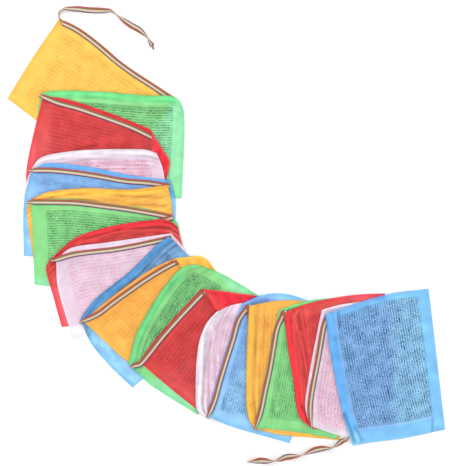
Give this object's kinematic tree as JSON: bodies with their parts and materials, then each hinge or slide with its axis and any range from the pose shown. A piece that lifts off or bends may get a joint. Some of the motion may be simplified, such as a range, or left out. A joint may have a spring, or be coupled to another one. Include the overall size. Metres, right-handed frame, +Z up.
{
  "type": "folded prayer flag string",
  "caption": "String of thin printed cloth flags in five colours on one striped tape, folded back and forth into a flat fanned pile with a free tie at each end.",
  "frame": {"origin": "centre of the outline's box, on the surface that the pile lies on", "axes": "+Z up from that surface, +X to the right and +Y away from a viewer who looks straight down on the pile, with the top flag at the right and the lowest one at the far left"},
  "size_m": [1.032, 1.0826, 0.0161],
  "materials": {
    "blue_cloth": "thin sheer plain-weave cloth, sky blue, printed with dark rows, matt with a faint sheen",
    "white_cloth": "thin sheer plain-weave cloth, pinkish white, printed with pale red rows, matt",
    "red_cloth": "thin sheer plain-weave cloth, bright red, printed with dark rows, matt with a faint sheen",
    "green_cloth": "thin sheer plain-weave cloth, light green, printed with dark rows, matt with a faint sheen",
    "yellow_cloth": "thin sheer plain-weave cloth, orange yellow, printed with faint brown rows, matt",
    "striped_tape": "woven heading tape with lengthwise red, olive, cream, pink and dark violet stripes, matt"
  },
  "bodies": {
    "root": {"flag_01": "blue_cloth", "flag_02": "white_cloth", "flag_03": "red_cloth", "flag_04": "green_cloth", "flag_05": "yellow_cloth", "flag_06": "blue_cloth", "flag_07": "white_cloth", "flag_08": "red_cloth", "flag_09": "green_cloth", "flag_10": "yellow_cloth", "flag_11": "blue_cloth", "flag_12": "white_cloth", "flag_13": "red_cloth", "flag_14": "green_cloth", "flag_15": "yellow_cloth", "flag_16": "blue_cloth", "flag_17": "white_cloth", "flag_18": "red_cloth", "flag_19": "green_cloth", "flag_20": "yellow_cloth", "tape": "striped_tape"}
  },
  "joints": []
}
